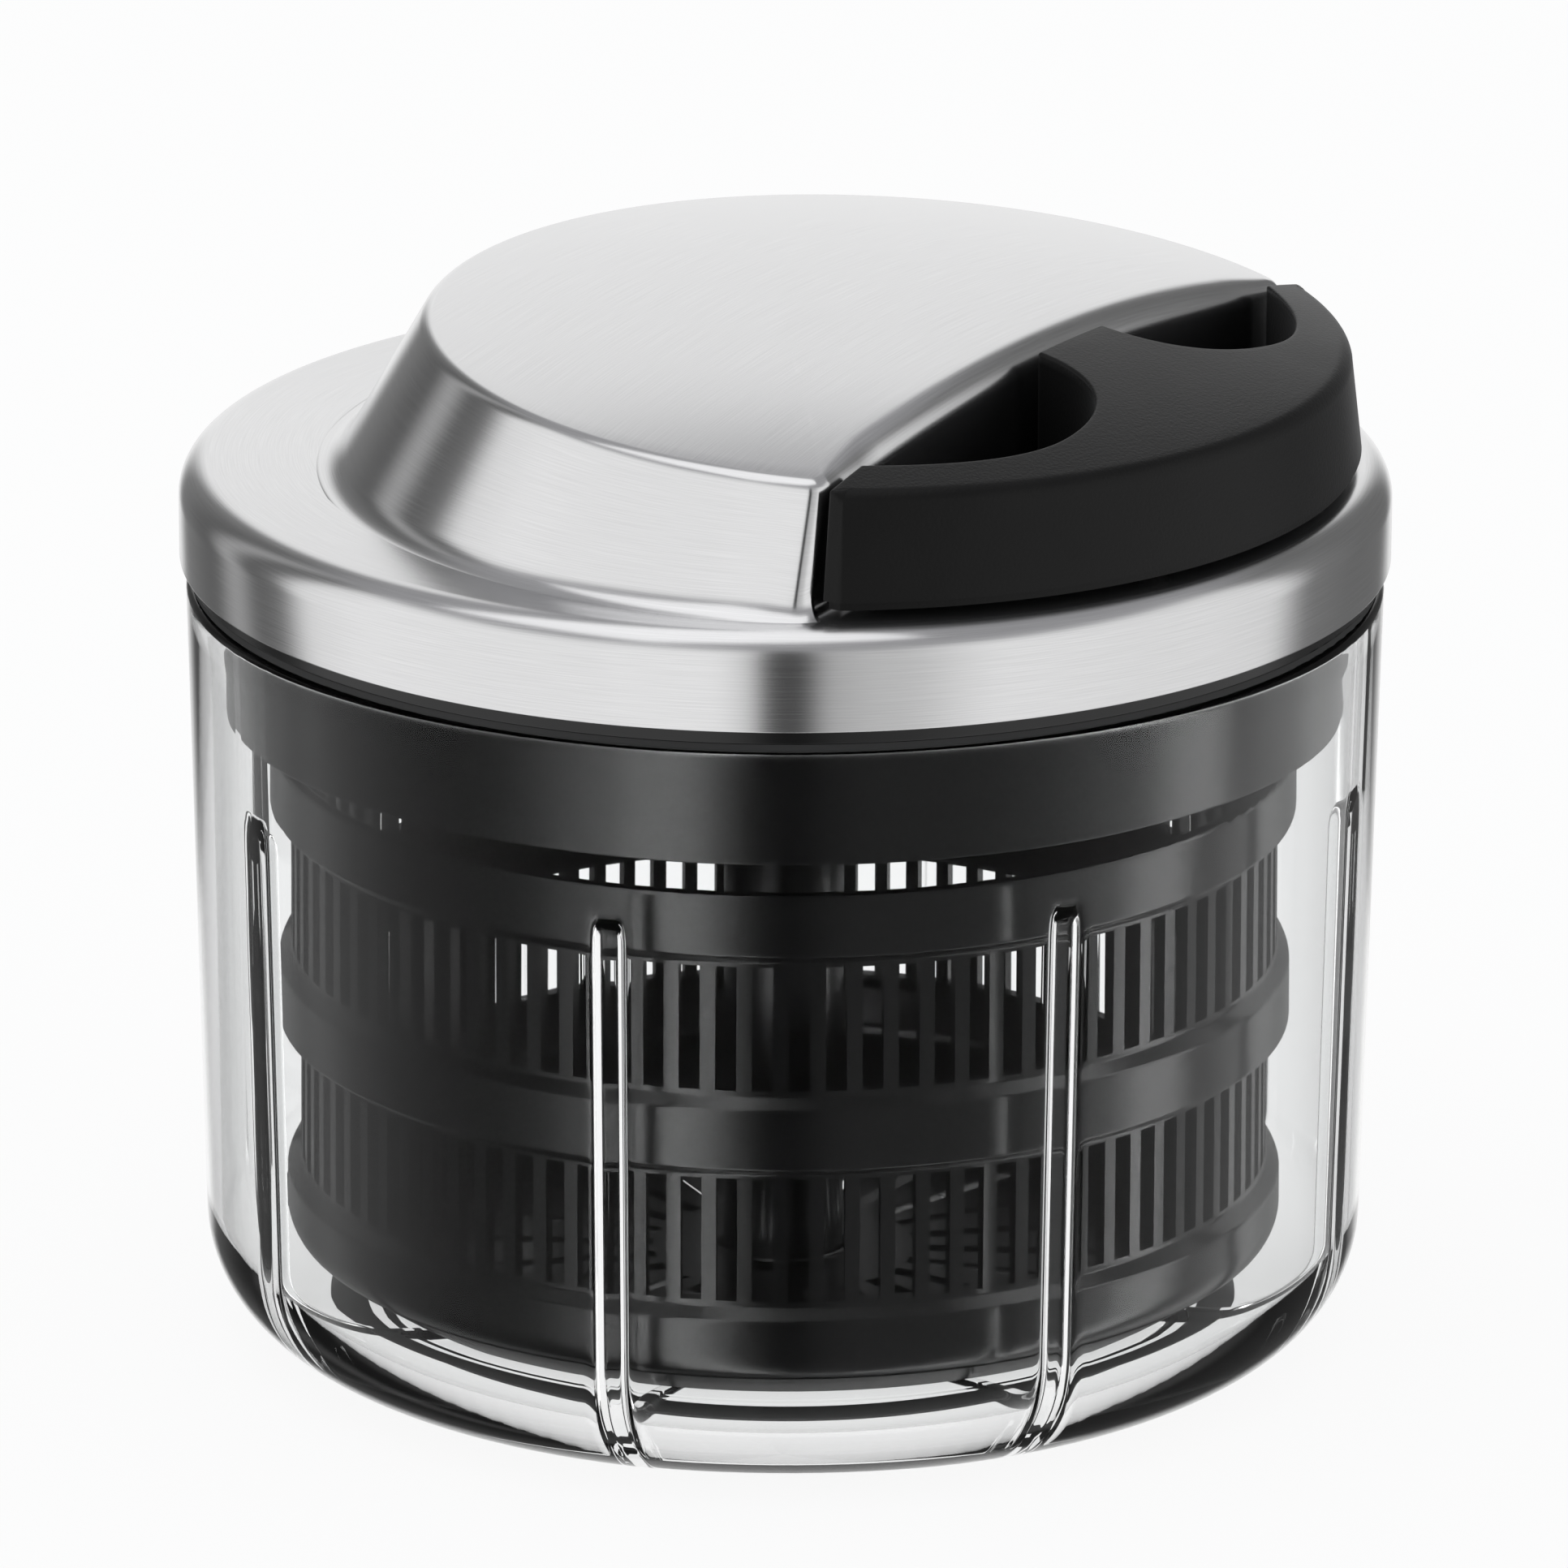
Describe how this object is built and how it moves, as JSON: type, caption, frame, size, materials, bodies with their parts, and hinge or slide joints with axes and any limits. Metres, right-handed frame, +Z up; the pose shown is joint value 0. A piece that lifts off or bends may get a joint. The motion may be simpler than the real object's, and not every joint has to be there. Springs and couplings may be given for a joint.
{
  "type": "salad spinner",
  "caption": "Pull-cord salad spinner: a clear ribbed bowl, a slotted basket turning on a pivot in it, and a domed brushed-steel lid whose black handle slides out on a cord to spin the basket",
  "frame": {"origin": "centre of the base, on the table, below the spinning axis", "axes": "+Z up along the spinning axis; -Y the way the handle is pulled; +X to the right of someone who faces the handle"},
  "size_m": [0.2, 0.2, 0.182],
  "materials": {
    "clear_plastic": "clear polished plastic, drafted and moulded in one piece",
    "black_rubber": "soft matt rubber",
    "steel_parts": "plain zinc-plated steel or alloy, bright",
    "pale_nylon": "natural low-friction plastic, satin",
    "black_satin": "black satin moulded plastic",
    "black_moulding": "black moulded plastic, satin",
    "brushed_steel": "satin stainless sheet, fine brushed grain",
    "cord": "braided black cord",
    "handle_black": "black plastic, fine matt texture"
  },
  "bodies": {
    "bowl": {"bowl": "clear_plastic", "pivot_pin": "steel_parts", "non_slip_ring": "black_rubber"},
    "bush": {"pivot_bush": "pale_nylon"},
    "basket": {"basket": "black_satin", "drive_socket": "pale_nylon"},
    "lid": {"lid_cover": "brushed_steel", "lid_body": "black_moulding", "seal_ring": "black_rubber", "mechanism_frame": "pale_nylon", "spring_cover": "pale_nylon", "rewind_spring": "steel_parts", "reel_axle": "steel_parts", "drive_bush": "pale_nylon", "cord_guide": "black_moulding", "frame_screws": "steel_parts", "cord_inner": "cord"},
    "reel": {"reel": "pale_nylon", "cord_coil": "cord", "pawl_pins": "steel_parts", "pawl_springs": "steel_parts"},
    "pawl_left": {"pawl_left": "pale_nylon"},
    "pawl_right": {"pawl_right": "pale_nylon"},
    "drive": {"ratchet_wheel": "steel_parts", "drive_shaft": "steel_parts", "drive_dog": "pale_nylon", "dog_pin": "steel_parts"},
    "handle": {"handle_grip": "handle_black", "handle_base": "handle_black", "handle_screws": "steel_parts", "cord_knot": "cord", "cord_outer": "cord"}
  },
  "joints": [
    {"name": "lid_lift", "type": "slide", "parent": "bowl", "child": "lid", "axis": [0, 0, 1], "range_m": [0, 0.26]},
    {"name": "basket_lift", "type": "slide", "parent": "bowl", "child": "bush", "axis": [0, 0, 1], "range_m": [0, 0.13]},
    {"name": "basket_spin", "type": "hinge", "parent": "bush", "child": "basket", "pos_m": [0, 0, 0.03], "axis": [0, 0, 1], "range_deg": [0, 1175]},
    {"name": "handle_pull", "type": "slide", "parent": "lid", "child": "handle", "axis": [0, -1, 0], "range_m": [0, 0.45], "stiffness_N_per_m": 11, "springref_m": -0.27, "deforming": ["cord_coil"]},
    {"name": "reel_spin", "type": "hinge", "parent": "lid", "child": "reel", "pos_m": [0, 0, 0.14], "axis": [0, 0, 1], "range_deg": [0, 1175]},
    {"name": "drive_spin", "type": "hinge", "parent": "lid", "child": "drive", "pos_m": [0, 0, 0.14], "axis": [0, 0, 1], "range_deg": [0, 1175]},
    {"name": "pawl_left_swing", "type": "hinge", "parent": "reel", "child": "pawl_left", "pos_m": [0.01622, -0.017, 0.1463], "axis": [0, 0, -1], "range_deg": [0, 12], "stiffness_Nm_per_rad": 0.002, "springref_deg": -17.19},
    {"name": "pawl_right_swing", "type": "hinge", "parent": "reel", "child": "pawl_right", "pos_m": [-0.01622, 0.017, 0.1463], "axis": [0, 0, -1], "range_deg": [0, 12], "stiffness_Nm_per_rad": 0.002, "springref_deg": -17.19}
  ],
  "couplings": [
    {"joint": "basket_lift", "follows": "lid_lift", "ratio": 0.5},
    {"joint": "reel_spin", "follows": "handle_pull", "rad_per_m": 45.455},
    {"joint": "drive_spin", "follows": "handle_pull", "rad_per_m": 45.455},
    {"joint": "basket_spin", "follows": "handle_pull", "rad_per_m": 45.455}
  ]
}
